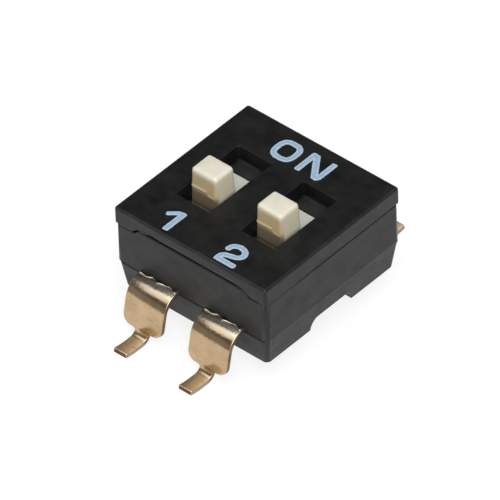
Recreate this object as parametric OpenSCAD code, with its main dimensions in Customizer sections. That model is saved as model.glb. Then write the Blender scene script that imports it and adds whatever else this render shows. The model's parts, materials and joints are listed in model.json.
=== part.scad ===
// Surface-mount slide DIP switch with gull-wing terminals.
// The board is the plane z = 0, the row runs along X, and the knobs slide towards +Y for ON.
// Every knob is drawn at its OFF end, nearest -Y.

/* [Row] */
// Number of switches in the row
positions = 2; // [1:1:10]
// Distance between neighbouring switches
pitch = 2.54; // [2.5:0.01:3.2]
// Travel of a knob from OFF to ON
travel = 0.94; // [0.7:0.01:1]

/* [Cover] */
// Thickness of the flat lid
lid_t = 0.42; // [0.3:0.01:0.55]
// Depth of the rails that run down from the lid beside each slot
rail_h = 0.075; // [0.05:0.005:0.12]
// Clearance round those rails in the track
rail_fit = 0.03; // [0.02:0.005:0.06]
// Depth of the end skirts below the lid
skirt_h = 0.18; // [0.1:0.01:0.3]
// Thickness of the end skirts
skirt_t = 0.28; // [0.2:0.01:0.36]
// Length of the skirt that wraps round each corner at full depth
wrap_l = 0.62; // [0.4:0.01:0.9]
// Length of the curve where a wrapped skirt rises to the lid
wrap_slope = 0.36; // [0.2:0.01:0.5]
// Radius of the cover's upright corners
corner_r = 0.1; // [0.03:0.01:0.15]
// Radius of the slots' corners
slot_r = 0.06; // [0.02:0.01:0.12]
// Gap between a knob's foot and each long side of its slot
slot_side = 0.135; // [0.04:0.005:0.2]
// Gap between a moved knob's foot and the end of its slot
slot_end = 0.47; // [0.2:0.005:0.6]
// Diameter of the pegs that hold the cover in the base
peg_d = 0.44; // [0.3:0.02:0.6]
// Length of those pegs
peg_l = 0.8; // [0.5:0.05:1]
// Wall left between a peg hole and the skirts
peg_wall = 0.06; // [0.04:0.01:0.2]
// Clearance round each peg
peg_fit = 0.01; // [0.005:0.005:0.03]
// Depth left below each peg
peg_spare = 0.1; // [0.05:0.01:0.2]

/* [Base] */
// Gap from the board to the underside of the base
standoff = 0.65; // [0.3:0.01:0.8]
// Height of the tapered lower half, up to the parting line
lower_h = 0.97; // [0.8:0.01:1.2]
// Wall from the track of the first and last slide to the cover's edge
end_wall = 0.805; // [0.75:0.005:1.2]
// Wall from the end of a track to the cover's edge
side_wall = 1.195; // [1:0.005:1.6]
// Set-back of the base from the cover's edge, at the seam
inset_top = 0.02; // [0.01:0.01:0.12]
// Set-back at the parting line
inset_mid = 0.01; // [0.01:0.01:0.06]
// Set-back at the underside
inset_low = 0.16; // [0.1:0.01:0.25]
// Set-back of the lower half under the parting line
part_step = 0.02; // [0.01:0.005:0.04]
// Width of the flat cut across the base's upright corners
corner_cut = 0.16; // [0.04:0.01:0.3]
// Open seam between the cover and the base
seam = 0.06; // [0.02:0.005:0.08]
// Depth of that seam, from the outside
seam_depth = 0.16; // [0.1:0.01:0.2]
// Width of the channel across the underside, at its mouth
channel_w = 1.82; // [1.5:0.02:2.2]
// Width of the channel at its roof
channel_roof = 1.24; // [1:0.02:1.4]
// Depth of the channel
channel_h = 0.4; // [0.2:0.01:0.5]

/* [Actuator] */
// Height of the knob above the cover
knob_h = 0.78; // [0.3:0.01:0.9]
// Knob width at the top, along the row
knob_w = 0.97; // [0.8:0.01:1]
// Knob length at the top, along its travel
knob_l = 0.82; // [0.7:0.01:0.9]
// Widening of the knob from its top to its foot, on each side
knob_draft = 0.04; // [0.02:0.005:0.1]
// Radius of the knob's edges
knob_r = 0.08; // [0.06:0.01:0.14]
// Height of the moulding ridge on the knob's -Y face, above the cover
ridge_h = 0.12; // [0.05:0.01:0.2]
// Length of that ridge
ridge_l = 0.8; // [0.5:0.01:0.84]
// Radius of that ridge
ridge_r = 0.04; // [0.03:0.005:0.05]
// How far the ridge stands out of the face
ridge_out = 0.024; // [0.01:0.002:0.03]
// Overhang of the slide plate under each long side of the slot
plate_lip = 0.19; // [0.15:0.01:0.28]
// Reach of the slide plate past the knob's foot, towards +Y
plate_reach = 0.84; // [0.6:0.005:1]
// Set-back of the slide plate from the knob's -Y face
plate_back = 0.26; // [0.1:0.005:0.4]
// Thickness of the slide plate
plate_t = 0.12; // [0.1:0.01:0.2]
// Radius of the slide plate's corners
plate_r = 0.06; // [0.03:0.01:0.12]
// Play of the slide plate, above, below, at its sides and at its stops
play = 0.025; // [0.015:0.005:0.04]
// Width of the boss below the plate
boss_w = 0.86; // [0.78:0.01:1]
// Length of the boss
boss_l = 0.84; // [0.7:0.01:1]
// Height of the boss
boss_h = 0.785; // [0.5:0.005:0.9]
// Radius of the boss's corners
boss_r = 0.1; // [0.05:0.01:0.12]
// Depth of the pocket in the boss that seats the moving contact
pocket_h = 0.16; // [0.12:0.01:0.2]
// Room at each end of the pocket, past the bends of the moving contact
pocket_play = 0.04; // [0.02:0.01:0.06]
// Room round the boss and the fingertips in the well below
well_play = 0.04; // [0.03:0.01:0.12]

/* [Moving contact] */
// Height of the moving contact, from the pads to its flat top
contact_h = 0.735; // [0.65:0.005:0.9]
// Thickness of the spring strip
spring_t = 0.08; // [0.05:0.01:0.1]
// Width of the spring strip
spring_w = 0.66; // [0.5:0.02:0.7]
// Slit that parts each arm into two fingers
spring_slit = 0.12; // [0.08:0.01:0.16]
// Steepness of the arms, in degrees below level
arm_angle = 80; // [76:1:86]
// Mid radius of the bend at the top of each arm
arm_r = 0.14; // [0.1:0.01:0.16]
// Mid radius of the contact bend
touch_r = 0.12; // [0.09:0.01:0.14]
// Distance between the two contact lines
touch_span = 0.72; // [0.7:0.01:0.9]
// Upward turn of the fingertips, in degrees
tip_angle = 30; // [25:1:55]
// Straight length of the fingertips
tip_l = 0.02; // [0.01:0.01:0.1]
// Lift of the contact bend off its pad
touch_gap = 0.01; // [0.005:0.005:0.02]

/* [Terminals] */
// Thickness of the terminal strip
strip_t = 0.16; // [0.12:0.01:0.2]
// Width of the terminal outside the base
lead_w = 1.5; // [1.2:0.02:1.8]
// Width of the foot and its neck
foot_w = 0.5; // [0.4:0.02:0.7]
// Length of the flat foot
foot_l = 0.74; // [0.5:0.01:1]
// Level run from the base to the upper bend
root_l = 0.15; // [0.1:0.01:0.35]
// Outer radius of the upper bend
bend_r = 0.5; // [0.3:0.01:0.6]
// Outward lean of the leg, in degrees
lean = 13; // [5:1:18]
// Radius of the rounded lower corners of the leg
leg_r = 0.3; // [0.1:0.01:0.4]
// Length of the neck between the wide leg and the lower bend
neck_l = 0.05; // [0.02:0.01:0.1]
// Radius of the fillets where the leg narrows to the neck
neck_r = 0.1; // [0.05:0.01:0.15]
// Inner radius of the lower bend
foot_r = 0.2; // [0.15:0.01:0.3]
// Width of the contact pad inside the base
pad_w = 0.8; // [0.7:0.02:0.9]
// Gap between the front and the rear pad
pad_gap = 0.42; // [0.3:0.01:0.5]
// Length of pad left past a resting contact line
pad_margin = 0.05; // [0.02:0.01:0.08]
// Length of the wide anchor inside the wall of the base
anchor_l = 0.75; // [0.6:0.01:0.9]
// Diameter of the hole that locks the strip in the moulding
lock_d = 0.44; // [0.3:0.02:0.5]
// Distance of that hole from the outside of the wall
lock_in = 0.39; // [0.3:0.01:0.45]

/* [Hidden] */
$fn = 48;
// overlap of cuts and fused pieces
eps = 0.02;
// straight pieces in each bend of a strip
bend_steps = 16;
black = [0.13, 0.13, 0.13];
ivory = [0.87, 0.85, 0.77];
gold = [0.78, 0.62, 0.4];
row = [for (i = [1:positions]) i];
// slot, slide plate and track, each grown from the knob's foot
knob_foot_w = knob_w + 2 * knob_draft;
knob_foot_l = knob_l + 2 * knob_draft;
slot_w = knob_foot_w + 2 * slot_side;
slot_l = knob_foot_l + travel + 2 * slot_end;
plate_w = slot_w + 2 * plate_lip;
plate_l = knob_foot_l - plate_back + plate_reach;
plate_y = (plate_back + plate_reach) / 2;
track_w = plate_w + 2 * play;
// the track's ends stop the plate at OFF and at ON
track_off = plate_y - plate_l / 2 - travel / 2 - play;
track_on = plate_y + plate_l / 2 + travel / 2 + play;
cover_w = pitch * (positions - 1) + track_w + 2 * end_wall;
cover_d = 2 * (track_on + side_wall);
// levels, from the board up to the knob's top
part_z = standoff + lower_h;
pad_z = part_z + strip_t / 2;
boss_z = pad_z + contact_h - pocket_h;
plate_z = boss_z + boss_h;
plate_top = plate_z + plate_t;
track_z = plate_z - play;
seat_z = plate_top + play + rail_h;
skirt_z = seat_z - skirt_h;
body_top = seat_z + lid_t;
knob_top = body_top + knob_h;
// pegs, just inside the wrapped corners of the skirts
peg_x = cover_w / 2 - skirt_t - seam - peg_wall - peg_fit - peg_d / 2;
peg_y = cover_d / 2 - skirt_t - seam - peg_wall - peg_fit - peg_d / 2;
// moving contact: strip middle under the pocket's roof, arm length and where the arm starts
spring_z = pad_z + contact_h - spring_t / 2;
touch_z = pad_z + touch_gap + touch_r + spring_t / 2;
arm_l = (spring_z - arm_r - touch_z + (arm_r + touch_r) * cos(arm_angle)) / sin(arm_angle);
arm_y = touch_span / 2 - (arm_r + touch_r) * sin(arm_angle) - arm_l * cos(arm_angle);
finger_y = touch_span / 2 + (touch_r + spring_t / 2) * sin(tip_angle) + tip_l * cos(tip_angle);
pocket_l = 2 * (arm_y + arm_r + spring_t / 2 + pocket_play);
well_w = max(boss_w, pad_w) + 2 * well_play;
well_l = 2 * max(boss_l / 2, finger_y) + travel + 2 * well_play;
// terminal: upper bend, leg and lower bend, as distances out from the middle of the part
wall_y = cover_d / 2 - inset_mid;
anchor_y = wall_y - anchor_l;
bend_y = wall_y + root_l;
leg_y = bend_y + bend_r * cos(lean);
leg_z = pad_z - bend_r + bend_r * sin(lean);
heel_z = strip_t + foot_r;
leg_l = (leg_z + foot_r * sin(lean) - heel_z) / cos(lean);
heel_y = leg_y + leg_l * sin(lean) + foot_r * cos(lean);
// the front pad runs past the middle, so that only ON bridges the two pads
front_reach = -abs(travel - touch_span) / 2 - pad_margin;
rear_reach = pad_gap - front_reach;

// Points along an arc of a bend, from angle a to angle b
function arc(c, r, a, b) =
    [for (k = [0:bend_steps])
        let (t = a + (b - a) * k / bend_steps)
        c + r * [cos(t), sin(t)]];

// Points of a quarter ellipse that leaves a upright and reaches b level
function ellipse(a, b) =
    [for (k = [0:bend_steps])
        let (t = 90 * k / bend_steps)
        [b.x + (a.x - b.x) * cos(t), a.y + (b.y - a.y) * sin(t)]];

// Points of a double curve that leaves a and reaches b level
function ogee(a, b) =
    [for (k = [0:bend_steps])
        let (t = k / bend_steps)
        [a.x + (b.x - a.x) * t, a.y + (b.y - a.y) * (1 - cos(180 * t)) / 2]];

function switch_x(i) = (i - (positions + 1) / 2) * pitch;

module rounded_square(w, d, r) {
    square([w - 2 * r, d], center = true);
    square([w, d - 2 * r], center = true);
    for (x = [-1, 1], y = [-1, 1])
        translate([x * (w / 2 - r), y * (d / 2 - r)])
            circle(r);
}

// End skirts with wrapped corners; grown by a gap it is the rebate that the base has for them.
module skirts(gap) {
    for (m = [0, 1])
        mirror([m, 0, 0]) {
            translate([cover_w / 2 - skirt_t - gap, -cover_d / 2, skirt_z - gap])
                cube([skirt_t + gap, cover_d, skirt_h + gap + eps]);
            for (n = [0, 1])
                mirror([0, n, 0])
                    translate([cover_w / 2, cover_d / 2, skirt_z])
                        rotate([90, 0, 0])
                            linear_extrude(skirt_t + gap)
                                polygon(concat(
                                    [[0, skirt_h + eps], [0, -gap]],
                                    ogee([-wrap_l - gap, -gap], [-wrap_l - wrap_slope - gap, skirt_h]),
                                    [[-wrap_l - wrap_slope - gap, skirt_h + eps]]
                                ));
        }
}

module pegs(d, l) {
    for (x = [-1, 1], y = [-1, 1])
        translate([x * peg_x, y * peg_y, seat_z - l])
            cylinder(d = d, h = l + eps);
}

// Plan of the wide part of a slide's track, drawn in by a gap
module track_plan(gap) {
    translate([gap - track_w / 2, track_off + gap])
        square([track_w - 2 * gap, track_on - track_off - 2 * gap]);
}

module cover() {
    color(black)
        difference() {
            union() {
                translate([0, 0, seat_z])
                    linear_extrude(lid_t)
                        rounded_square(cover_w, cover_d, corner_r);
                intersection() {
                    skirts(0);
                    translate([0, 0, skirt_z - eps])
                        linear_extrude(skirt_h + lid_t)
                            rounded_square(cover_w, cover_d, corner_r);
                }
                pegs(peg_d, peg_l);
                for (i = row)
                    translate([switch_x(i), 0, seat_z - rail_h])
                        linear_extrude(rail_h + eps)
                            track_plan(rail_fit);
            }
            for (i = row)
                translate([switch_x(i), 0, seat_z - rail_h - eps])
                    linear_extrude(rail_h + lid_t + 2 * eps)
                        rounded_square(slot_w, slot_l, slot_r);
        }
}

// Body between two opposite walls that lean from a lower to an upper level, each [set-back, height].
// The angle is the walls' facing, and the set-backs grow by the stretch.
module flanks(angle, half, low, high, stretch) {
    foot = half - low[0] * stretch;
    head = half - high[0] * stretch;
    rotate([90, 0, angle])
        linear_extrude(4 * half, center = true)
            polygon([[foot, low[1]], [head, high[1]], [-head, high[1]], [-foot, low[1]]]);
}

// Half of the base's outside, with its upright corners cut off.
module outside(low, high) {
    diagonal = (cover_w + cover_d) / 2 * sqrt(0.5) - corner_cut / 2;
    intersection() {
        flanks(0, cover_w / 2, low, high, 1);
        flanks(90, cover_d / 2, low, high, 1);
        flanks(45, diagonal, low, high, sqrt(2));
        flanks(135, diagonal, low, high, sqrt(2));
    }
}

module base() {
    color(black)
        difference() {
            union() {
                outside([inset_low, standoff], [inset_mid + part_step, part_z + eps]);
                outside([inset_mid, part_z], [inset_top, seat_z]);
            }
            skirts(seam);
            // open seam below the lid's edge
            translate([0, 0, seat_z - seam])
                linear_extrude(seam + eps)
                    difference() {
                        square([2 * cover_w, 2 * cover_d], center = true);
                        square([cover_w - 2 * seam_depth, cover_d - 2 * seam_depth], center = true);
                    }
            pegs(peg_d + 2 * peg_fit, peg_l + peg_spare);
            for (i = row)
                translate([switch_x(i), 0, 0]) {
                    translate([0, 0, track_z])
                        linear_extrude(seat_z - track_z + eps) {
                            track_plan(0);
                            // room for the knob at OFF, in front of the shoulders that stop the plate
                            translate([-slot_w / 2, -slot_l / 2])
                                square([slot_w, slot_l / 2 + track_off + eps]);
                        }
                    translate([-well_w / 2, -well_l / 2, pad_z])
                        cube([well_w, well_l, track_z - pad_z + eps]);
                    strip(rear_reach);
                    mirror([0, 1, 0])
                        strip(front_reach);
                }
            // channel across the underside
            rotate([90, 0, 90])
                linear_extrude(2 * cover_w, center = true)
                    for (m = [0, 1])
                        mirror([m, 0])
                            polygon(concat(
                                [[-eps, standoff - eps], [channel_w / 2, standoff - eps]],
                                ellipse([channel_w / 2, standoff], [channel_roof / 2, standoff + channel_h]),
                                [[-eps, standoff + channel_h]]
                            ));
        }
}

// Level part of a terminal: contact pad, anchor with its lock hole, and root.
module strip(reach) {
    translate([0, 0, pad_z - strip_t])
        linear_extrude(strip_t)
            difference() {
                union() {
                    translate([-pad_w / 2, reach])
                        square([pad_w, anchor_y - reach + eps]);
                    translate([-lead_w / 2, anchor_y])
                        square([lead_w, bend_y - anchor_y]);
                }
                translate([0, wall_y - lock_in])
                    circle(d = lock_d);
            }
}

// Side outline of a formed terminal, from the root to the tip of the foot and back.
module terminal_side() {
    upper = [bend_y, pad_z - bend_r];
    lower = [heel_y, heel_z];
    tip_y = heel_y + foot_l;
    polygon(concat(
        [[bend_y - root_l, pad_z]],
        arc(upper, bend_r, 90, lean),
        arc(lower, foot_r, 180 + lean, 270),
        [[tip_y, strip_t], [tip_y, 0]],
        arc(lower, foot_r + strip_t, 270, 180 + lean),
        arc(upper, bend_r - strip_t, lean, 90),
        [[bend_y - root_l, pad_z - strip_t]]
    ));
}

module formed(w) {
    rotate([90, 0, 90])
        linear_extrude(w, center = true)
            terminal_side();
}

// Face-on outline of the wide leg, with rounded lower corners and fillets at the neck.
module leg_face() {
    wide = leg_l - neck_l;
    above = leg_y - wall_y + bend_r;
    translate([-lead_w / 2 - eps, -above])
        square([lead_w + 2 * eps, above + wide - leg_r]);
    translate([leg_r - lead_w / 2, -above])
        square([lead_w - 2 * leg_r, above + wide]);
    for (x = [-1, 1])
        translate([x * (lead_w / 2 - leg_r), wide - leg_r])
            circle(leg_r);
    difference() {
        translate([-foot_w / 2 - neck_r, wide - eps])
            square([foot_w + 2 * neck_r, neck_r + eps]);
        for (x = [-1, 1])
            translate([x * (foot_w / 2 + neck_r), wide + neck_r])
                circle(neck_r);
    }
}

module terminal(reach) {
    color(gold) {
        strip(reach);
        formed(foot_w);
        intersection() {
            formed(lead_w);
            translate([0, leg_y, leg_z])
                rotate([lean - 90, 0, 0])
                    linear_extrude(2 * leg_y, center = true)
                        leg_face();
        }
    }
}

module terminal_front() {
    mirror([0, 1, 0])
        terminal(front_reach);
}

module terminal_rear() {
    terminal(rear_reach);
}

// Knob above the slide plate, on a straight foot as deep as the plate.
module knob() {
    hull() {
        translate([0, 0, plate_z])
            linear_extrude(plate_t)
                rounded_square(knob_foot_w, knob_foot_l, knob_r, $fn = 32);
        for (x = [-1, 1], y = [-1, 1])
            translate([x * (knob_w / 2 - knob_r), y * (knob_l / 2 - knob_r), knob_top - knob_r])
                sphere(knob_r, $fn = 32);
    }
}

module actuator() {
    ridge_z = body_top + ridge_h;
    face_y = knob_l / 2 + knob_draft * (knob_top - ridge_z) / (knob_top - plate_top);
    color(ivory) {
        knob();
        translate([0, ridge_r - ridge_out - face_y, ridge_z])
            rotate([0, 90, 0])
                cylinder(r = ridge_r, h = ridge_l, center = true);
        translate([0, plate_y, plate_z])
            linear_extrude(plate_t)
                rounded_square(plate_w, plate_l, plate_r);
        difference() {
            translate([0, 0, boss_z])
                linear_extrude(boss_h + eps)
                    rounded_square(boss_w, boss_l, boss_r);
            translate([-spring_w / 2, -pocket_l / 2, boss_z - eps])
                cube([spring_w, pocket_l, pocket_h + eps]);
        }
    }
}

// Half of the moving contact's side outline: top bend, arm, contact bend and turned-up fingertip.
function spring_half() =
    let (
        bend = [arm_y, spring_z - arm_r],
        touch = [touch_span / 2, touch_z],
        h = spring_t / 2,
        tip = tip_l * [cos(tip_angle), sin(tip_angle)],
        upper = arc(touch, touch_r - h, 270 - arm_angle, 270 + tip_angle),
        lower = arc(touch, touch_r + h, 270 + tip_angle, 270 - arm_angle)
    )
    concat(
        arc(bend, arm_r + h, 90, 90 - arm_angle),
        upper,
        [upper[len(upper) - 1] + tip, lower[0] + tip],
        lower,
        arc(bend, arm_r - h, 90 - arm_angle, 90)
    );

module moving_contact() {
    half = spring_half();
    color(gold)
        difference() {
            rotate([90, 0, 90])
                linear_extrude(spring_w, center = true)
                    polygon(concat(half, [for (k = [len(half) - 1:-1:0]) [-half[k].x, half[k].y]]));
            for (m = [0, 1])
                mirror([0, m, 0])
                    translate([-spring_slit / 2, arm_y + arm_r, 0])
                        cube([spring_slit, touch_span, spring_z - arm_r]);
        }
}

base();
cover();
for (i = row)
    translate([switch_x(i), 0, 0]) {
        translate([0, -travel / 2, 0])
                actuator();
        translate([0, -travel / 2, 0])
                moving_contact();
        terminal_front();
        terminal_rear();
    }
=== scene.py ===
# Two-position slide switch for surface mounting, with gull-wing terminals.
# Sizes are written in millimetres, and meshes are in metres.
import json
import math

import bmesh
import bpy
import numpy as np
from mathutils import Matrix, Vector


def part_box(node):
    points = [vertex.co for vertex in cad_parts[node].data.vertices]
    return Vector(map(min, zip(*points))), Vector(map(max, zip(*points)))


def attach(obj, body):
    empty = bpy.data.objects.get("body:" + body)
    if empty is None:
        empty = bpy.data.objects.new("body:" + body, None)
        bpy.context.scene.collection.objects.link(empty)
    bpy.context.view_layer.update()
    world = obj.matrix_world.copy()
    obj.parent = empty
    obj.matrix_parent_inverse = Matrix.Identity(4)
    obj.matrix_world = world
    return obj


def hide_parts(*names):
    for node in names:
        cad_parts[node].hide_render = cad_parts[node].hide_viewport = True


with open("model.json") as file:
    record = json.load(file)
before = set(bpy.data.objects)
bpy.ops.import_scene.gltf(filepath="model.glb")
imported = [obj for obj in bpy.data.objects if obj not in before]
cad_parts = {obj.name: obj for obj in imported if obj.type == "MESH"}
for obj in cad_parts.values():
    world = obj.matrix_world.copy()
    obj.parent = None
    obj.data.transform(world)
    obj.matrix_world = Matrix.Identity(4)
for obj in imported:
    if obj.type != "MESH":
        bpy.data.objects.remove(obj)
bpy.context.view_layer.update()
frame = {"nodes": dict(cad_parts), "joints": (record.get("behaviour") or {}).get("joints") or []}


# Base
# One black moulding of glass-filled, heat-proof plastic. The mould's halves meet at the terminals,
# so the walls draw in above and below that line, and the plastic is moulded round the metal.
MM = 0.001
PITCH = 2.54
FLAT_JOIN = 0.5
ARC_STEP = 9
SAME_POINT = 0.0005
# The first gain is painted light in shaded places under the lid's edge; the second is for the pale fibre
# specks.
PAINTED_LIGHT_GAIN, FIBRE_LIGHT = 3.4, 3.5


def add_node(tree, kind, settings=None, **values):
    """One shader node, with its settings and its input values or links.
    An input goes by its name, with _ for a space, or by its number, as in0, in1 and so on."""
    node = tree.nodes.new(kind)
    for key, value in (settings or {}).items():
        setattr(node, key, value)
    for key, value in values.items():
        numbered = key[:2] == "in" and key[2:].isdigit()
        socket = node.inputs[int(key[2:]) if numbered else key.replace("_", " ")]
        if isinstance(value, bpy.types.NodeSocket):
            tree.links.new(value, socket)
        else:
            socket.default_value = value
    return node


def maths(tree, operation, first, second):
    """The output of one arithmetic node."""
    return add_node(tree, "ShaderNodeMath", {"operation": operation}, in0=first, in1=second).outputs[0]


def blend_colour(tree, share, first, second):
    """The first colour, giving way to the second as the share goes from 0 to 1."""
    values = {"in0": share, "in6": first, "in7": second}
    return add_node(tree, "ShaderNodeMix", {"data_type": "RGBA"}, **values).outputs[2]


def new_finish(name):
    """An empty material, its tree, its principled shader, and the piece's own place in millimetres."""
    finish = bpy.data.materials.new(name)
    finish.use_nodes = True
    tree = finish.node_tree
    shader = tree.nodes["Principled BSDF"]
    place = add_node(tree, "ShaderNodeTexCoord").outputs["Object"]
    in_mm = add_node(tree, "ShaderNodeMapping", Vector=place, Scale=(1 / MM,) * 3)
    return finish, tree, shader, in_mm.outputs["Vector"]


def clouds(tree, place, scale, detail=4, roughness=0.6):
    """Soft noise with patches of about 1 / scale millimetres."""
    values = {"Vector": place, "Scale": scale, "Detail": detail, "Roughness": roughness}
    return add_node(tree, "ShaderNodeTexNoise", **values).outputs["Fac"]


def shade_range(tree, source, low, high, dark, light):
    """A colour or grey ramp from dark at low to light at high."""
    ramp = add_node(tree, "ShaderNodeValToRGB", Fac=source)
    ramp.color_ramp.elements[0].position = low
    ramp.color_ramp.elements[1].position = high
    ramp.color_ramp.elements[0].color = (*dark, 1)
    ramp.color_ramp.elements[1].color = (*light, 1)
    return ramp.outputs["Color"]


def grey(value):
    """The same value in each channel."""
    return (value,) * 3


def fade(tree, value, start, end, kind="SMOOTHSTEP"):
    """A share that goes from 0 to 1 as the value goes from start to end, either way round."""
    values = {"Value": value, "From_Min": start, "From_Max": end}
    return add_node(tree, "ShaderNodeMapRange", {"interpolation_type": kind}, **values).outputs[0]


def relief(tree, shader, height, depth, strength=0.5, under=None):
    """Bump of a depth in millimetres on the shader's normal, over another bump where there is one."""
    bump = add_node(tree, "ShaderNodeBump", Height=height, Strength=strength, Distance=depth * MM)
    if under is not None:
        tree.links.new(under, bump.inputs["Normal"])
    tree.links.new(bump.outputs["Normal"], shader.inputs["Normal"])
    return bump.outputs["Normal"]


def black_moulding(name, dark, light, rough, painted_light_span=None):
    """Matte black plastic: cloudy grey, flow marks, fine moulded grain, and pale fibre ends as specks.
    Where a span along y is given, it turns paler between its two places: painted light in the shade under the
    lid's edge."""
    finish, tree, shader, place = new_finish(name)
    cloud = clouds(tree, place, 1.6, 6, 0.68)
    grain = clouds(tree, place, 14, 4, 0.65)
    squeezed = add_node(tree, "ShaderNodeMapping", Vector=place, Scale=(0.9, 0.9, 1.5))
    flow = clouds(tree, squeezed.outputs[0], 1.5, 3)
    speck = add_node(tree, "ShaderNodeTexVoronoi", Vector=place, Scale=9, Randomness=1)
    ground = shade_range(tree, cloud, 0.3, 0.72, dark, light)
    # Painted light: the ground turns paler along y between the two places given, lifting the shade there.
    if painted_light_span is not None:
        run = add_node(tree, "ShaderNodeSeparateXYZ", Vector=place).outputs["Y"]
        painted_light_share = fade(tree, run, *painted_light_span, "LINEAR")
        ground = blend_colour(tree, painted_light_share, ground, (*(PAINTED_LIGHT_GAIN * c for c in light), 1))
    fibres = shade_range(tree, speck.outputs["Distance"], 0.05, 0.14, grey(1), grey(0))
    chosen = maths(tree, "GREATER_THAN", speck.outputs["Color"], 0.74)
    faint = maths(tree, "MULTIPLY", maths(tree, "MULTIPLY", fibres, chosen), 0.3)
    colour = blend_colour(tree, faint, ground, (*(FIBRE_LIGHT * c for c in light), 1))
    tree.links.new(colour, shader.inputs["Base Color"])
    gloss = shade_range(tree, flow, 0.3, 0.7, grey(rough - 0.06), grey(rough + 0.08))
    tree.links.new(gloss, shader.inputs["Roughness"])
    shader.inputs["Specular IOR Level"].default_value = 0.34
    waves = relief(tree, shader, flow, 0.02, 0.2)
    relief(tree, shader, grain, 0.01, 0.2, waves)
    return finish


def mesh_points(mesh):
    """A mesh's points in metres, one row each."""
    spots = np.empty(3 * len(mesh.vertices), np.float32)
    mesh.vertices.foreach_get("co", spots)
    return spots.reshape(-1, 3).astype(float)


def cut_at(work, axis, place):
    """Cuts edges and faces by the plane at a place in millimetres along an axis, and gives the cut."""
    parts = [*work.verts, *work.edges, *work.faces]
    facing = np.eye(3)[axis]
    return bmesh.ops.bisect_plane(work, geom=parts, dist=0, plane_co=place * MM * facing, plane_no=facing)


def moulded_copy(node, name, cuts, shaping, rounding, finishes, floor_z=None):
    """A merged copy of a CAD moulding, cut at places along an axis, its points moved by shaping, cut
    through the middle of each switch so that no face has a hole, and its flat facets joined. Each edge
    gets the radius that rounding gives for its middle, its run and the turn between its faces. A bevel
    cuts those rounds in the second finish, and points that it leaves on each other are joined.
    Faces at floor_z take the third finish."""
    source = frame["nodes"][node].data
    corners = np.empty(len(source.loops), np.int32)
    source.loops.foreach_get("vertex_index", corners)
    mesh = bpy.data.meshes.new(name)
    mesh.from_pydata(mesh_points(source).tolist(), [], corners.reshape(-1, 3).tolist())
    work = bmesh.new()
    work.from_mesh(mesh)
    bmesh.ops.remove_doubles(work, verts=work.verts, dist=SAME_POINT * MM)
    for axis, place in cuts:
        cut_at(work, axis, place)
    work.to_mesh(mesh)
    work.clear()
    spots = mesh_points(mesh)
    spots += shaping(spots / MM) * MM
    mesh.vertices.foreach_set("co", spots.reshape(-1).astype(np.float32))
    work.from_mesh(mesh)
    for x in (-PITCH / 2, PITCH / 2):
        for item in cut_at(work, 0, x)["geom_cut"]:
            if isinstance(item, bmesh.types.BMEdge):
                item.seam = True
    flat = math.radians(FLAT_JOIN)
    bmesh.ops.dissolve_limit(
        work, angle_limit=flat, verts=work.verts, edges=work.edges, delimit={"SEAM"}
    )
    work.edges.index_update()
    ends = np.array([[vert.co for vert in edge.verts] for edge in work.edges]) / MM
    turn = np.degrees([edge.calc_face_angle(0.0) for edge in work.edges])
    work.to_mesh(mesh)
    work.free()
    run = ends[:, 1] - ends[:, 0]
    run /= np.linalg.norm(run, axis=1, keepdims=True)
    bent = turn > ARC_STEP
    radius = np.where(bent, rounding(ends.mean(1), run, turn), 0.0)
    weights = mesh.attributes.new("bevel_weight_edge", "FLOAT", "EDGE")
    weights.data.foreach_set("value", radius / radius.max())
    mesh.shade_smooth()
    creases = mesh.attributes.new("sharp_edge", "BOOLEAN", "EDGE")
    creases.data.foreach_set("value", bent & (radius == 0))
    for finish in finishes:
        mesh.materials.append(finish)
    if floor_z is not None:
        level = np.array([face.center for face in mesh.polygons])[:, 2] / MM
        # Painted light: the slot floor faces take the paler third finish.
        painted_light_faces = np.abs(level - floor_z) < 0.01
        mesh.polygons.foreach_set("material_index", np.where(painted_light_faces, 2, 0).astype(np.int32))
    piece = bpy.data.objects.new(name, mesh)
    bpy.context.scene.collection.objects.link(piece)
    bevel = piece.modifiers.new("rounds", "BEVEL")
    bevel.width = radius.max() * MM
    bevel.segments = 4
    bevel.limit_method = "WEIGHT"
    bevel.harden_normals = True
    bevel.use_clamp_overlap = False
    # The rounds take the second finish, which is paler: a painted highlight along the edges.
    bevel.material = 1
    weld = piece.modifiers.new("joined_points", "WELD")
    weld.merge_threshold = SAME_POINT * MM
    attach(piece, "housing")
    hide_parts(node)
    return piece


base_low, base_high = (np.array(corner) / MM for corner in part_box("base"))
PART_Z, PART_STEP = 1.62, 0.02
GROOVE_H, GROOVE_D, GROOVE_LIFT = 0.04, 0.06, 0.05
SKIRT_SEAT, SEAT_LIFT = 3.04, 0.03
CORNER_R, FOOT_R, CHANNEL_R, LIP_R = 0.07, 0.05, 0.03, 0.045
SAME_LEVEL, SAME_WALL = 0.001, 0.006


def parting_groove(spots):
    """Moves that make a fine groove along both rows of terminals, where the mould halves met: the upper
    rim of the lower walls, which stands back, is drawn further in, and the rim above it is lifted a
    little. The seats under the cover's skirts come up too, because the skirts close more tightly than
    the long edges."""
    x, y, z = spots.T
    parting = np.abs(z - PART_Z) <= SAME_LEVEL
    stepped = parting & (np.abs(np.abs(y) - base_high[1] + PART_STEP) < SAME_WALL)
    outer = np.maximum(np.abs(x) - base_high[0], np.abs(y) - base_high[1]) > -SAME_WALL
    seats = np.abs(z - SKIRT_SEAT) < SAME_LEVEL
    moves = np.zeros_like(spots)
    moves[:, 1] = -GROOVE_D * np.sign(y) * stepped
    moves[:, 2] = GROOVE_LIFT * (parting & outer & ~stepped) + SEAT_LIFT * seats
    return moves


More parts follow.
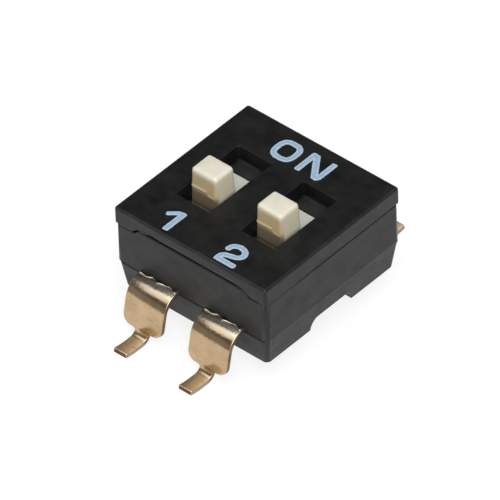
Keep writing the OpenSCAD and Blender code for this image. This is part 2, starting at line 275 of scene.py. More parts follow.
def base_rounds(middle, run, turn):
    """Soft upright corners, a softer foot, smooth channel ends, and a small round on the seam's lip."""
    x, y, z = np.abs(middle).T
    corner = (x > base_high[0] - 0.3) & (y > base_high[1] - 0.3) & (np.abs(run[:, 2]) > 0.9)
    corner &= (turn > 20) & (np.abs(z - PART_Z) > 0.2)
    foot = z < base_low[2] + 0.01
    channel = (x > base_high[0] - 0.3) & (y < 1) & (z < base_low[2] + 0.5)
    lip = (z > base_high[2] - 0.3) & ((x > base_high[0] - 0.06) | (y > base_high[1] - 0.06))
    return np.select([corner, foot, channel, lip], [CORNER_R, FOOT_R, CHANNEL_R, LIP_R], 0.0)


# Painted light: the slot floors at TRACK_Z take a paler finish than the rest of the moulding, standing in for
# light in the slots' shade. They are paler still between these places along y, under the lid's rear edge.
TRACK_Z, TRACK_PAINTED_LIGHT = 3.035, (1.38, 1.56)
plastic = black_moulding("black_moulding", (0.0022, 0.0024, 0.0023), (0.0155, 0.0158, 0.0155), 0.42)
# Painted highlight: a paler finish for every bevelled round of the base and cover.
painted_edge_highlight = black_moulding(
    "black_moulding_painted_edge_highlight", (0.011, 0.011, 0.0108), (0.025, 0.025, 0.0245), 0.4
)
track_floor = black_moulding(
    "black_moulding_track_painted_light", (0.017, 0.0175, 0.017), (0.032, 0.033, 0.031), 0.5, TRACK_PAINTED_LIGHT
)
base_finishes = [plastic, painted_edge_highlight, track_floor]
base_cuts = [(2, PART_Z - GROOVE_H)]
moulded_copy("base", "moulded_base", base_cuts, parting_groove, base_rounds, base_finishes, TRACK_Z)


# Cover
# A flat black lid moulded from the same plastic, with short skirts at its ends that wrap the corners.
# It is pressed on the base with hidden pegs and traps the slide plates under its slots.
lid_low, lid_high = (np.array(corner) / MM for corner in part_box("cover"))
LID_TOP = lid_high[2]
SEAT_Z, TUCK_H, TUCK_R, TUCK_END = 3.28, 0.18, 0.46, 0.2
SKIRT_CLEAR = 0.1
LID_R, SLOT_R, RIM_R = 0.085, 0.014, 0.05
lid_spots = np.abs(mesh_points(frame["nodes"]["cover"].data)) / MM
on_wall = np.abs(lid_spots[:, 1] - lid_high[1]) < SAME_WALL
on_seam = np.abs(lid_spots[:, 2] - SEAT_Z) < 2 * SAME_LEVEL
tuck_outer = lid_spots[on_wall & on_seam, 0].max() - SKIRT_CLEAR
tuck_inner = tuck_outer - TUCK_END


def tucked_edge(spots):
    """Moves that curl the long lower edges in towards the seam between the skirts: an arc of radius r
    that starts TUCK_H above the seam draws the wall in by r - sqrt(r^2 - d^2), d below its start."""
    x, y, z = spots.T
    fall = SEAT_Z + TUCK_H - z
    tucked = (np.abs(x) < tuck_inner + SAME_LEVEL) & (np.abs(np.abs(y) - lid_high[1]) < SAME_WALL)
    tucked &= (fall > 0) & (fall < TUCK_H + 2 * SAME_LEVEL)
    deep = np.where(tucked, fall, 0)
    moves = np.zeros_like(spots)
    moves[:, 1] = -np.sign(y) * (TUCK_R - np.sqrt(TUCK_R**2 - deep**2))
    return moves


def cover_rounds(middle, run, turn):
    """A soft upper edge all round, crisp slots, and a small round along the lower edge."""
    x, y, z = np.abs(middle).T
    outside = (x > lid_high[0] - 0.12) | (y > lid_high[1] - 0.12)
    top = z > LID_TOP - 0.01
    lower = outside & (z < LID_TOP - 0.3)
    return np.select([top & outside, top, lower], [LID_R, SLOT_R, RIM_R], 0.0)


lid_cuts = [(0, x) for x in (-tuck_outer, -tuck_inner, tuck_inner, tuck_outer)]
lid_cuts += [(2, SEAT_Z + TUCK_H * up) for up in (1 / 3, 2 / 3, 1)]
moulded_copy("cover", "moulded_cover", lid_cuts, tucked_edge, cover_rounds, [plastic, painted_edge_highlight])


# Slide knobs
# Two ivory plastic slides, each moulded in one piece: a knob with drawn-in sides and a ridge where the
# mould closed, a flat plate behind it that runs under the cover, and a boss that carries the contact.
TRAVEL = frame["joints"][0]["range_m"][1] / MM
slide_low, slide_high = (np.array(corner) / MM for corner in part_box("actuator_1"))
PLATE_X = (slide_high[0] - slide_low[0]) / 2
PLATE_REAR = slide_high[1] + TRAVEL / 2
PLATE_FRONT = -0.19
PLATE_LOW, PLATE_HIGH = 3.06, 3.18
FOOT_X, FOOT_Y = 0.525, 0.45
TOP_X, TOP_Y, TOP_Z = 0.485, 0.41, slide_high[2]
BOSS_X, BOSS_Y, BOSS_Z = 0.43, 0.42, slide_low[2]
POCKET_X, POCKET_Y, POCKET_H = 0.33, 0.248, 0.16
KNOB_R, DOME_H = 0.11, 0.012
RIDGE_Z, RIDGE_OUT, RIDGE_DROP_X = 3.83, 0.03, 0.125
SAME_RING = 0.0002


def rounded_outline(corners, radii, arc=6, side=14):
    """Loops of points from lists of corners, one list a level: a circular arc at each corner as a
    rational curve, (a(1-t)^2 + b sqrt(2)t(1-t) + c t^2) over the sum of its weights, and even steps
    between."""
    before = np.roll(corners, 1, axis=1) - corners
    after = np.roll(corners, -1, axis=1) - corners
    before, after = (way / np.linalg.norm(way, axis=-1, keepdims=True) for way in (before, after))
    start = corners + radii[..., None] * before
    end = corners + radii[..., None] * after
    t = np.linspace(0, 1, arc + 1)[:, None]
    a, b, c = (1 - t) ** 2, math.sqrt(2) * t * (1 - t), t**2
    bend = (a * start[:, :, None] + b * corners[:, :, None] + c * end[:, :, None]) / (a + b + c)
    step = np.linspace(0, 1, side + 2)[1:-1, None]
    run = end[:, :, None] + step * (np.roll(start, -1, axis=1) - end)[:, :, None]
    return np.concatenate([bend, run], axis=2).reshape(len(corners), -1, 2)


def block(half_x, half_y, radius, z):
    """One level of a rounded rectangle, with two spare corners along each side: corners, radii and height."""
    x, y, near, far = half_x, half_y, 0.2 * half_y, 0.45 * half_y
    corners = [[x, y], [-x, y], [-x, -near], [-x, -far], [-x, -y], [x, -y], [x, -far], [x, -near]]
    return np.array(corners), np.array([radius, radius, 0.01, 0.01] * 2), z


def stepped_plate(inset, z):
    """One level of the plate with the knob's foot standing out of its -Y end."""
    x, foot = PLATE_X - inset, FOOT_X - inset
    rear, step, front = PLATE_REAR - inset, PLATE_FRONT + inset, inset - FOOT_Y
    plate_left = [[x, rear], [-x, rear], [-x, step]]
    knob_foot = [[-foot, step], [-foot, front], [foot, front], [foot, step]]
    radii = [0.06, 0.06, 0.06, 0.02, KNOB_R, KNOB_R, 0.02, 0.06]
    return np.array([*plate_left, *knob_foot, [x, step]]), np.array(radii), z


def edge_round(half_x, half_y, corner, z, radius, steps=7):
    """Levels over a rounded upper edge: the block draws in by r(1 - cos a) as it climbs by r sin a."""
    return [
        block(half_x - r_in, half_y - r_in, max(corner - r_in, 0.02), z + radius * math.sin(angle))
        for angle in np.radians(np.linspace(10, 90, steps))
        for r_in in [radius * (1 - math.cos(angle))]
    ]


def mould_ridge(points):
    """How far the ridge stands out at each point of the -Y face: a sharp line, steep above and below,
    that climbs a little towards +X, drops two thirds along, and fades at both ends."""
    x, y, z = np.moveaxis(points, -1, 0)
    past = x - RIDGE_DROP_X
    drop = 1 / (1 + np.exp(-past / 0.008))
    height = RIDGE_Z + 0.03 * x - drop * (0.1 + 0.13 * past)
    rise = z - height
    line = np.where(rise > 0, np.exp(-((rise / 0.045) ** 2)), np.exp(-((rise / 0.02) ** 2)))
    gap = 1 - 0.75 * np.exp(-((past / 0.018) ** 2))
    face = np.clip((-y - 0.3) / 0.06, 0, 1)
    ends = np.clip((x + 0.52) / 0.05, 0, 1) * np.clip((0.47 - x) / 0.1, 0, 1)
    return RIDGE_OUT * line * gap * face * ends * (z > PLATE_HIGH + 0.05)


def slide_knob(x):
    """Levels of outlines from the boss's pocket, over boss and plate, up the tapered knob to its low
    dome. They lie close together round the ridge."""
    heights = np.concatenate([
        np.linspace(PLATE_HIGH + 0.02, 3.6, 6),
        np.arange(3.62, 3.94, 0.0125),
        np.linspace(3.97, TOP_Z - KNOB_R, 6),
    ])
    taper = (heights - PLATE_HIGH) / (TOP_Z - PLATE_HIGH)
    walls = [
        block(FOOT_X + (TOP_X - FOOT_X) * up, FOOT_Y + (TOP_Y - FOOT_Y) * up, KNOB_R, z)
        for up, z in zip(taper, heights)
    ]
    inner_x, inner_y = TOP_X - KNOB_R, TOP_Y - KNOB_R
    dome = [
        block(s * inner_x, s * inner_y, 0.02 * s, TOP_Z + DOME_H * (1 - s * s)) for s in (0.8, 0.55, 0.3)
    ]
    levels = [
        block(POCKET_X, POCKET_Y, 0.02, BOSS_Z + POCKET_H),
        block(POCKET_X, POCKET_Y, 0.02, BOSS_Z),
        block(BOSS_X - 0.02, BOSS_Y - 0.02, 0.08, BOSS_Z),
        block(BOSS_X, BOSS_Y, 0.1, BOSS_Z + 0.02),
        block(BOSS_X, BOSS_Y, 0.1, PLATE_LOW),
        stepped_plate(0.012, PLATE_LOW),
        stepped_plate(0, PLATE_LOW + 0.012),
        stepped_plate(0, PLATE_HIGH - 0.015),
        stepped_plate(0.005, PLATE_HIGH - 0.004),
        stepped_plate(0.015, PLATE_HIGH),
        block(FOOT_X - 0.001, FOOT_Y - 0.016, KNOB_R, PLATE_HIGH),
        *walls,
        *edge_round(TOP_X, TOP_Y, KNOB_R, TOP_Z - KNOB_R, KNOB_R),
        *dome,
    ]
    corners, radii, z = (np.array(part) for part in zip(*levels))
    loops = rounded_outline(corners, radii)
    lifts = np.broadcast_to(z[:, None, None], (*loops.shape[:2], 1))
    rings = np.concatenate([loops, lifts], -1)
    rings[..., 1] -= mould_ridge(rings)
    return rings + [x, -TRAVEL / 2, 0]


def skin_faces(rings):
    """Quads between neighbouring rings, and one flat face at each end."""
    count, around = rings.shape[:2]
    here = np.arange(around)
    after = np.roll(here, -1)
    first = around * np.arange(count - 1)[:, None]
    above = first + around
    quads = np.stack([first + here, first + after, above + after, above + here], -1)
    ends = [here[::-1].tolist(), (here + around * (count - 1)).tolist()]
    return quads.reshape(-1, 4).tolist() + ends


def new_piece(name, points, faces, finishes, body, sharp=40, which=None):
    """A closed mesh from points in millimetres, merged, turned outwards, and riding on its body.
    The faces take the first finish, or the one that which names for each of them."""
    mesh = bpy.data.meshes.new(name)
    mesh.from_pydata((points.reshape(-1, 3) * MM).tolist(), [], faces)
    for finish in finishes:
        mesh.materials.append(finish)
    if which is not None:
        mesh.polygons.foreach_set("material_index", which)
    work = bmesh.new()
    work.from_mesh(mesh)
    bmesh.ops.remove_doubles(work, verts=work.verts, dist=SAME_RING * MM)
    bmesh.ops.recalc_face_normals(work, faces=work.faces)
    work.to_mesh(mesh)
    work.free()
    mesh.shade_smooth()
    mesh.set_sharp_from_angle(angle=math.radians(sharp))
    piece = bpy.data.objects.new(name, mesh)
    bpy.context.scene.collection.objects.link(piece)
    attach(piece, body)
    return piece


def ivory_moulding():
    """Warm white plastic that lets a little light in, paler on top. Painted shade: warmer and darker down
    the sides, greyer on the plate, warmer on the -Y face, and browner low on that face."""
    finish, tree, shader, place = new_finish("ivory_moulding")
    cloud = clouds(tree, place, 2.2)
    grain = clouds(tree, place, 20, 3)
    pale = shade_range(tree, cloud, 0.3, 0.7, (0.76, 0.72, 0.59), (0.82, 0.79, 0.67))
    spot = add_node(tree, "ShaderNodeSeparateXYZ", Vector=place)
    front = fade(tree, spot.outputs["Y"], -TRAVEL / 2 - 0.27, -TRAVEL / 2 - 0.41)
    below = fade(tree, spot.outputs["Z"], TOP_Z - 0.02, TOP_Z - 0.3)
    low = fade(tree, spot.outputs["Z"], RIDGE_Z + 0.04, RIDGE_Z - 0.23)
    plate = fade(tree, spot.outputs["Z"], PLATE_HIGH + 0.15, PLATE_HIGH + 0.03)
    # Painted shade: the sides below the top turn darker and warmer, the plate greyer, the -Y face warmer, and
    # its lower part brown.
    sides = maths(tree, "MULTIPLY", below, 0.55)
    painted_front_shade = maths(tree, "MULTIPLY", front, below)
    painted_low_shade = maths(tree, "MULTIPLY", front, low)
    colour = blend_colour(tree, sides, pale, (0.74, 0.66, 0.46, 1))
    colour = blend_colour(tree, plate, colour, (0.69, 0.71, 0.63, 1))
    colour = blend_colour(tree, painted_front_shade, colour, (0.61, 0.485, 0.285, 1))
    colour = blend_colour(tree, painted_low_shade, colour, (0.2, 0.155, 0.1, 1))
    tree.links.new(colour, shader.inputs["Base Color"])
    gloss = shade_range(tree, grain, 0.3, 0.7, grey(0.36), grey(0.5))
    tree.links.new(gloss, shader.inputs["Roughness"])
    relief(tree, shader, grain, 0.006, 0.2)
    shader.inputs["Subsurface Weight"].default_value = 0.5
    shader.inputs["Subsurface Radius"].default_value = (0.3, 0.2, 0.09)
    shader.inputs["Subsurface Scale"].default_value = 0.7 * MM
    return finish


ivory = ivory_moulding()
for number, side in ((1, -1), (2, 1)):
    knob_rings = slide_knob(side * PITCH / 2)
    knob_faces = skin_faces(knob_rings)
    knob = new_piece(
        f"slide_knob_{number}", knob_rings, knob_faces, [ivory], f"slider_{number}"
    )
    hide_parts(f"actuator_{number}")


# Terminals
# Four stamped strips of copper alloy with a thin gold plate: a flat root moulded into the base, a wide
# leg bent down and outwards, and a narrow foot bent level again to lie on the board. The side edges take
# a darker brown, and moulding left a wavy burr where each root leaves the wall.
terminal_low, terminal_high = (np.array(corner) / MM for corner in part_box("terminal_rear_1"))
PAD_Z, TIP_Y = terminal_high[2], terminal_high[1]
LEAD_X = (terminal_high[0] - terminal_low[0]) / 2
WALL_Y = base_high[1]
STRIP = 0.16
ANCHOR_L, PAD_X = 0.75, 0.4
BEND_R, HEEL_R, LEAN = 0.69, 0.2, math.radians(13)
TOE_X, TOE_L, TOE_ROUND = 0.25, 0.74, 0.03
TOE_FLAT, TOE_CURL = 0.15, 0.33
LEG_R, NECK_L, NECK_R = 0.3, 0.05, 0.1
EDGE_R = 0.026
SIDE_QUADS = [6, 7, 8, 14, 15, 0]


def strip_stations(reach):
    """Along the strip: place (y, z), direction of its upper face, and half width, from pad to toe.
    Flats are straight lines, bends are arcs that both touch the leg, the toe turns up as a parabola,
    and the width follows the stamped outline."""
    half = STRIP / 2
    ahead, up = np.array([1.0, 0.0]), np.array([0.0, 1.0])
    out = np.array([math.cos(LEAN), math.sin(LEAN)])
    down = np.array([math.sin(LEAN), -math.cos(LEAN)])
    level = np.array([0.0, PAD_Z - half])
    heel = np.array([TIP_Y - TOE_L, STRIP + HEEL_R])
    drop = PAD_Z - BEND_R - heel[1]
    apart = (BEND_R + HEEL_R + drop * math.sin(LEAN)) / math.cos(LEAN)
    shoulder = np.array([heel[0] - apart, PAD_Z - BEND_R])
    leg = shoulder + (BEND_R - half) * out
    wide = (heel - shoulder) @ down - NECK_L
    parts = []

    def straight(start, heading, normal, along, width):
        """Stations at distances along a line."""
        along = np.asarray(along, float)[:, None]
        normals = np.broadcast_to(normal, (len(along), 2))
        widths = np.broadcast_to(width, len(along))
        parts.append(np.column_stack([start + along * heading, normals, widths]))

    def bend(centre, radius, angle, facing, width):
        """Stations at angles round a centre, with the upper face outside (1) or inside (-1) the bend."""
        ray = np.stack([np.cos(angle), np.sin(angle)], -1)
        widths = np.broadcast_to(width, len(angle))
        parts.append(np.column_stack([centre + radius * ray, facing * ray, widths]))

    def neck_width(past):
        """Half width past the end of the leg: a quarter circle that runs into the toe's width."""
        left = np.clip(1 - past / NECK_R, 0, 1)
        return TOE_X + NECK_R * (1 - np.sqrt(1 - left**2))

    turn = np.linspace(0, math.pi / 2, 12)
    neck = np.linspace(0.003, NECK_L - 0.003, 5)
    lower = np.linspace(math.pi + LEAN, 1.5 * math.pi, 20)
    straight(level, ahead, up, [reach, reach + 0.02, WALL_Y - ANCHOR_L - 0.004], PAD_X)
    straight(level, ahead, up, [WALL_Y - ANCHOR_L, WALL_Y - 0.1, shoulder[0] - 0.02], LEAD_X)
    bend(shoulder, BEND_R - half, np.linspace(math.pi / 2, LEAN, 20), 1, LEAD_X)
    straight(leg, down, out, np.linspace(0.05, wide - LEG_R - 0.02, 6), LEAD_X)
    corner = LEAD_X - LEG_R + LEG_R * np.cos(turn)
    straight(leg, down, out, wide - LEG_R + LEG_R * np.sin(turn), corner)
    straight(leg, down, out, wide + neck, neck_width(neck))
    past_leg = NECK_L + (lower - lower[0]) * (HEEL_R + half)
    bend(heel, HEEL_R + half, lower, -1, neck_width(past_leg))
    toe = np.linspace(0.03, TOE_L - TOE_ROUND, 14)
    curl = np.maximum(toe - TOE_FLAT, 0)
    slope = np.arctan(TOE_CURL * curl)
    rise = half + TOE_CURL * curl**2 / 2
    widths = np.full(len(toe), TOE_X)
    parts.append(np.column_stack([heel[0] + toe, rise, -np.sin(slope), np.cos(slope), widths]))
    return np.concatenate(parts)


def gull_wing(x, side, reach):
    """The strip's rounded-rectangle section carried along its stations, with its toe rounded off."""
    at = strip_stations(reach)
    turn = np.linspace(0, math.pi / 2, 6)[1:]
    toe = np.repeat(at[-1:], len(turn), axis=0)
    toe[:, :2] += TOE_ROUND * np.sin(turn)[:, None] * [at[-1, 3], -at[-1, 2]]
    shrink = np.concatenate([np.zeros(len(at)), 1 - np.cos(turn)])[:, None, None]
    at = np.concatenate([at, toe])
    angle = np.radians(90) * np.arange(4)[:, None] + np.linspace(0, math.pi / 2, 4)
    sign_w, sign_t = np.array([[1, -1, -1, 1], [1, 1, -1, -1]])[:, :, None]
    across = sign_w * (at[:, 4, None, None] - TOE_ROUND * shrink - EDGE_R) + EDGE_R * np.cos(angle)
    through = (sign_t * (STRIP / 2 - EDGE_R) + EDGE_R * np.sin(angle)) * (1 - 0.4 * shrink)
    across, through = across.reshape(len(at), -1), through.reshape(len(at), -1)
    y = at[:, 0, None] + through * at[:, 2, None]
    z = at[:, 1, None] + through * at[:, 3, None]
    return np.stack([x + across, side * y, z], -1)


def root_burr(x, side):
    """A thin tube along the line where a root leaves the wall. Its radius swells and its line wavers
    along x, each as a sum of two sines."""
    t = np.linspace(-1, 1, 120)
    waver = 0.7 * np.sin(7.5 * t + 0.6) + 0.3 * np.sin(13 * t + 2.0)
    swell = 0.5 + 0.35 * np.sin(6.2 * t + 1.1) + 0.15 * np.sin(11 * t + 0.4)
    radius = (0.018 + 0.045 * swell) * np.sqrt(np.clip((1 - np.abs(t)) / 0.04, 0.01, 1))
    angle = np.linspace(0, 2 * math.pi, 10, endpoint=False)
    y = WALL_Y + 0.03 + 0.05 * waver[:, None] + radius[:, None] * np.cos(angle)
    z = PAD_Z + 0.002 + 0.8 * radius[:, None] * np.sin(angle)
    across = np.broadcast_to((x + (LEAD_X - 0.02) * t)[:, None], y.shape)
    return np.stack([across, side * y, z], -1)


def gold_plate(name, dark, light, rough, pale=1.0):
    """Satin gold over stamped metal: faint drawn lines down the strip, tarnish clouds and fine dark
    scratches. Painted highlight: the plate turns paler and nearly silver over the root and the top of its
    bend. Painted light: it turns paler over the foot, by the share that pale gives, and the foot is duller."""
    finish, tree, shader, place = new_finish(name)
    cloud = clouds(tree, place, 1.7, 5)
    lengthwise = add_node(tree, "ShaderNodeMapping", Vector=place, Scale=(24, 1.1, 1.1))
    drawn = clouds(tree, lengthwise.outputs[0], 1, 4, 0.7)
    slanted = {"Scale": (1.3, 3, 11), "Rotation": (0.3, 0.5, 0.4)}
    slanting = add_node(tree, "ShaderNodeMapping", Vector=place, **slanted)
    marks = clouds(tree, slanting.outputs[0], 1.6, 3, 0.55)
    scratches = shade_range(tree, marks, 0.66, 0.7, grey(0), grey(0.55))
    plate = shade_range(tree, cloud, 0.27, 0.73, dark, light)
    spot = add_node(tree, "ShaderNodeSeparateXYZ", Vector=place)
    out = maths(tree, "ABSOLUTE", spot.outputs["Y"], 0.0)
    root = fade(tree, out, WALL_Y + 0.5, WALL_Y + 0.25)
    foot = fade(tree, out, WALL_Y + 0.93, WALL_Y + 1.08)
    # Painted highlight: a paler, less golden colour over the root and the top of the bend.
    painted_root_sheen = (*(v * light[0] for v in (1.0, 0.93, 0.76)), 1)
    plate = blend_colour(tree, maths(tree, "MULTIPLY", root, 0.85), plate, painted_root_sheen)
    # Painted light: a paler gold over the foot, by the share that pale gives.
    painted_foot_light = (*(v * light[0] for v in (1.45, 1.2, 0.82)), 1)
    plate = blend_colour(tree, maths(tree, "MULTIPLY", foot, pale), plate, painted_foot_light)
    colour = blend_colour(tree, scratches, plate, (*(0.45 * c for c in dark), 1))
    tree.links.new(colour, shader.inputs["Base Color"])
    gloss = shade_range(tree, drawn, 0.3, 0.7, grey(rough - 0.03), grey(rough + 0.05))
    dull = maths(tree, "MULTIPLY", foot, 0.2)
    tree.links.new(maths(tree, "ADD", gloss, dull), shader.inputs["Roughness"])
    lines = relief(tree, shader, drawn, 0.004, 0.25)
    relief(tree, shader, cloud, 0.025, 0.4, lines)
    shader.inputs["Metallic"].default_value = 1.0
    return finish


gold = gold_plate("gold_plate", (0.44, 0.31, 0.18), (0.61, 0.445, 0.272), 0.2)
side_edge_finish = gold_plate("stamped_edge", (0.13, 0.08, 0.04), (0.3, 0.19, 0.1), 0.42)
cut_end = gold_plate("cut_end", (0.12, 0.05, 0.035), (0.3, 0.14, 0.09), 0.4, 0.0)
strip_finishes = [gold, side_edge_finish, cut_end]
front_reach = -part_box("terminal_front_1")[1][1] / MM
for row, side, reach in (("front", -1, front_reach), ("rear", 1, terminal_low[1])):
    for number, place in ((1, -1), (2, 1)):
        strip_rings = gull_wing(place * PITCH / 2, side, reach)
        strip_faces = skin_faces(strip_rings)
        stamped = np.zeros((len(strip_rings) - 1, strip_rings.shape[1]), np.int32)
        stamped[:, SIDE_QUADS] = 1
        stamped[-1] = 2
        which = np.append(stamped.reshape(-1), [1, 2])
        terminal = new_piece(
            f"gull_wing_{row}_{number}", strip_rings, strip_faces, strip_finishes, "housing",
            which=which,
        )
        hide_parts(f"terminal_{row}_{number}")
        burr_rings = root_burr(place * PITCH / 2, side)
        burr_faces = skin_faces(burr_rings)
        new_piece(f"root_burr_{row}_{number}", burr_rings, burr_faces, [gold], "housing")


# Moving contacts
# Formed spring strips that sit in the pockets of the slides and wipe over the terminals' pads.
# They keep their CAD shape and take the same gold plate.
for number in (1, 2):
    contact = frame["nodes"][f"moving_contact_{number}"]
    contact.data.materials.clear()
    contact.data.materials.append(gold)


# Print
# ON and the numbers, pad-printed on the lid in pale blue-white ink that stands a little proud,
# thickest along its rim, with edges that waver slightly.
INK_H = 0.012
INK_EDGE = 0.02
STROKE = 0.1
STROKE_R = 0.06
O_MIDDLE, O_HALF, O_POWER = np.array([-0.6625, 2.1]), np.array([0.341, 0.362]), 2 / 2.9
SLOPE, STEM, FLAG = 0.11, 0.108, 0.082


def curve_points(points, steps=10):
    """A smooth line through the points: each stretch is a cubic, and its slope at a point is half the
    step between the neighbours on both sides."""
    p = np.array(points, float)
    p = np.concatenate([2 * p[:1] - p[1:2], p, 2 * p[-1:] - p[-2:-1]])
    t = np.linspace(0, 1, steps, endpoint=False)[:, None]
    a, b, c, d = (p[k:len(p) - 3 + k, None] for k in range(4))
    square, cube = 2 * a - 5 * b + 4 * c - d, 3 * b - a - 3 * c + d
    line = 0.5 * (2 * b + (c - a) * t + square * t**2 + cube * t**3)
    return np.concatenate([line.reshape(-1, 2), p[-2:-1]])


def ink_film(name, lines, finish, step=0.0125):
    """Height over a grid from the depth inside the nearest stroke: half its width less the distance to
    its middle line, and at free ends the depth inside a square end with rounded corners. The film dips
    below the lid outside, and upright walls join it to a flat underside. Each of the lines is its points,
    its half width, and whether its ends are free."""
    starts = np.concatenate([line[:-1] for line, _, _ in lines])
    ends = np.concatenate([line[1:] for line, _, _ in lines])
    halves = np.concatenate([np.full(len(line) - 1, half) for line, half, _ in lines])
    first = np.concatenate([free & (np.arange(len(line) - 1) == 0) for line, _, free in lines])
    last = np.concatenate([
        free & (np.arange(len(line) - 1) == len(line) - 2) for line, _, free in lines
    ])
    low = np.minimum(starts, ends).min(0) - 0.2
    high = np.maximum(starts, ends).max(0) + 0.2
    nx, ny = np.ceil((high - low) / step).astype(int)
    columns, rows = low[0] + step * np.arange(nx), low[1] + step * np.arange(ny)
    gx, gy = np.meshgrid(columns, rows, indexing="ij")
    length = np.linalg.norm(ends - starts, axis=1)
    way = (ends - starts) / length[:, None]
    offset = np.stack([gx, gy], -1)[:, :, None] - starts
    along = (offset * way).sum(-1)
    across = offset[..., 0] * way[:, 1] - offset[..., 1] * way[:, 0]
    short, over = -along, along - length
    beyond = np.maximum(np.maximum(np.where(first, 0, short), np.where(last, 0, over)), 0)
    gap = halves - np.hypot(across, beyond)
    for end, past in ((first, short), (last, over)):
        aside = np.maximum(np.abs(across) - halves + STROKE_R, 0)
        ahead = np.maximum(past + STROKE_R, 0)
        gap = np.where(end, np.minimum(gap, STROKE_R - np.hypot(aside, ahead)), gap)
    inside = gap.max(-1) + 0.005 * np.sin(31 * gx + 3 * np.sin(17 * gy)) * np.cos(27 * gy)
    rim = 0.4 * np.exp(-(((inside - 0.03) / 0.016) ** 2))
    height = INK_H * (np.clip(inside / INK_EDGE, -1, 1) + rim)
    top = np.stack([gx, gy, LID_TOP + height], -1).reshape(-1, 3)
    under = np.stack([gx, gy, np.full_like(gx, LID_TOP - 2 * INK_H)], -1).reshape(-1, 3)
    count = nx * ny
    index = np.arange(count).reshape(nx, ny)
    quads = np.stack([index[:-1, :-1], index[1:, :-1], index[1:, 1:], index[:-1, 1:]], -1)
    quads = quads.reshape(-1, 4)
    quads = quads[(inside > -INK_EDGE).reshape(-1)[quads].any(1)]
    start, end = quads.reshape(-1), np.roll(quads, -1, axis=1).reshape(-1)
    outline = ~np.isin(end * count + start, start * count + end)
    walls = np.stack([end, start, start + count, end + count], -1)[outline]
    faces = np.concatenate([quads, quads[:, ::-1] + count, walls])
    used, faces = np.unique(faces, return_inverse=True)
    points = np.concatenate([top, under])[used]
    return new_piece(name, points, faces.reshape(-1, 4).tolist(), [finish], "housing")


def pale_ink():
    """Opaque pale blue ink, patchy where the pad pressed unevenly, and whiter on the rim, where it lies
    thick."""
    finish, tree, shader, place = new_finish("pale_ink")
    patch = clouds(tree, place, 7)
    body = shade_range(tree, patch, 0.3, 0.7, (0.27, 0.405, 0.56), (0.36, 0.49, 0.63))
    height = add_node(tree, "ShaderNodeSeparateXYZ", Vector=place).outputs["Z"]
    rim = fade(tree, height, LID_TOP + INK_H, LID_TOP + 1.35 * INK_H, "LINEAR")
    colour = blend_colour(tree, maths(tree, "MULTIPLY", rim, 0.8), body, (0.56, 0.66, 0.74, 1))
    tree.links.new(colour, shader.inputs["Base Color"])
    shader.inputs["Roughness"].default_value = 0.5
    return finish


ink = pale_ink()
angle = np.radians(np.linspace(0, 360, 65))
ray = np.stack([np.cos(angle), np.sin(angle)], -1)
letter_o = O_MIDDLE + O_HALF * np.sign(ray) * np.abs(ray) ** O_POWER
n_left = np.array([[0.1, 1.635], [0.1, 2.565]])
n_slope = np.array([[0.12, 2.455], [0.21, 2.455], [0.725, 1.735], [0.8, 1.735]])
n_right = np.array([[0.848, 1.72], [0.848, 2.565]])
ink_film("print_on", [
    (letter_o, STROKE, False), (n_left, STROKE, True), (n_slope, SLOPE, False), (n_right, STROKE, True)
], ink)
one_stem = np.array([[-1.125, -2.8], [-1.125, -1.875]])
one_flag = np.array([[-1.14, -1.955], [-1.27, -1.985], [-1.565, -2.23]])
ink_film("print_1", [(one_stem, STEM, True), (one_flag, FLAG, True)], ink)
two_bow = curve_points([
    [0.857, -2.25], [0.93, -2.06], [1.15, -1.975], [1.365, -2.05], [1.447, -2.215], [1.36, -2.365],
    [1.17, -2.435], [0.97, -2.5], [0.88, -2.61], [0.875, -2.73],
], 6)
two_base = np.array([[0.777, -2.727], [1.562, -2.727]])
ink_film("print_2", [(two_bow, STROKE, True), (two_base, STROKE, True)], ink)


# Floor, lights and camera
# A white table under broad soft boxes in a dim room, and a long lens that looks down on the front right
# corner from well above and far back.
FLOOR_HALF = 0.3
FLOOR_SHADE, FLOOR_LIFT = 0.24, 0.82
AIM_Z = 2
ROOM_LIGHT = 0.1
AZIMUTH, ELEVATION, ROLL = (math.radians(a) for a in (42.865, 41.527, -2.284))
FAR = 333.3
PIXELS_PER_MM, FRAME_PX = 34.2, 500
LOOK_X, LOOK_Y = -0.19, -1.555


def white_table():
    """Matte white for the object's light. The lens and reflections see it a little brighter, so that it
    reads white."""
    finish, tree, shader, _ = new_finish("white_table")
    shader.inputs["Base Color"].default_value = (*grey(FLOOR_SHADE), 1)
    shader.inputs["Roughness"].default_value = 0.9
    shader.inputs["Specular IOR Level"].default_value = 0.0
    path = add_node(tree, "ShaderNodeLightPath").outputs
    seen = maths(tree, "MAXIMUM", path["Is Camera Ray"], path["Is Glossy Ray"])
    seen = maths(tree, "MAXIMUM", seen, path["Is Transmission Ray"])
    shader.inputs["Emission Color"].default_value = (1, 1, 1, 1)
    tree.links.new(maths(tree, "MULTIPLY", seen, FLOOR_LIFT), shader.inputs["Emission Strength"])
    return finish


edge = FLOOR_HALF * np.array([[-1, -1, 0], [1, -1, 0], [1, 1, 0], [-1, 1, 0]])
floor_mesh = bpy.data.meshes.new("table")
floor_mesh.from_pydata(edge.tolist(), [], [[0, 1, 2, 3]])
floor_mesh.materials.append(white_table())
floor = bpy.data.objects.new("table", floor_mesh)
bpy.context.scene.collection.objects.link(floor)


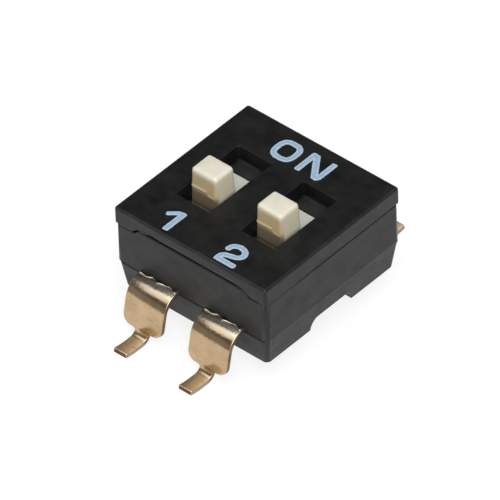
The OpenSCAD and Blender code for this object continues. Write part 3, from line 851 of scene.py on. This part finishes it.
def soft_light(name, place, width, depth, power):
    """A rectangular softbox aimed at the middle of the switch."""
    lamp = bpy.data.lights.new(name, "AREA")
    lamp.shape = "RECTANGLE"
    lamp.size, lamp.size_y = width, depth
    lamp.energy = power
    light = bpy.data.objects.new(name, lamp)
    light.location = place
    aim = Vector((0, 0, AIM_Z * MM)) - Vector(place)
    light.rotation_euler = aim.to_track_quat("-Z", "Y").to_euler()
    bpy.context.scene.collection.objects.link(light)


soft_light("overhead_box", (0.04, 0.0, 0.3), 0.26, 0.26, 0.33)
soft_light("front_strip", (0.02, -0.12, 0.31), 0.6, 0.2, 0.52)
soft_light("right_fill", (0.28, -0.16, 0.16), 0.24, 0.24, 0.22)
soft_light("near_fill", (0.21, -0.225, 0.235), 0.2, 0.2, 0.62)
soft_light("left_card", (-0.25, -0.35, 0.12), 0.35, 0.2, 0.048)

world = bpy.data.worlds.new("studio")
world.use_nodes = True
room = world.node_tree.nodes["Background"]
room.inputs["Color"].default_value = (1, 1, 1, 1)
room.inputs["Strength"].default_value = ROOM_LIGHT
bpy.context.scene.world = world
bpy.context.scene.view_settings.view_transform = "Standard"

level = math.cos(ELEVATION)
back = Vector((math.sin(AZIMUTH) * level, -math.cos(AZIMUTH) * level, math.sin(ELEVATION)))
level_right = Vector((math.cos(AZIMUTH), math.sin(AZIMUTH), 0))
level_up = back.cross(level_right)
right = level_right * math.cos(ROLL) + level_up * math.sin(ROLL)
up = level_up * math.cos(ROLL) - level_right * math.sin(ROLL)
eye = Vector((0, 0, LID_TOP)) + right * LOOK_X + up * LOOK_Y + back * FAR
lens = bpy.data.cameras.new("long_lens")
lens.sensor_width = 36
lens.lens = lens.sensor_width * PIXELS_PER_MM * FAR / FRAME_PX
lens.clip_start, lens.clip_end = 0.01, 5
camera = bpy.data.objects.new("camera", lens)
turned = Matrix((right, up, back)).transposed().to_4x4()
camera.matrix_world = Matrix.Translation(eye * MM) @ turned
bpy.context.scene.collection.objects.link(camera)
bpy.context.scene.camera = camera
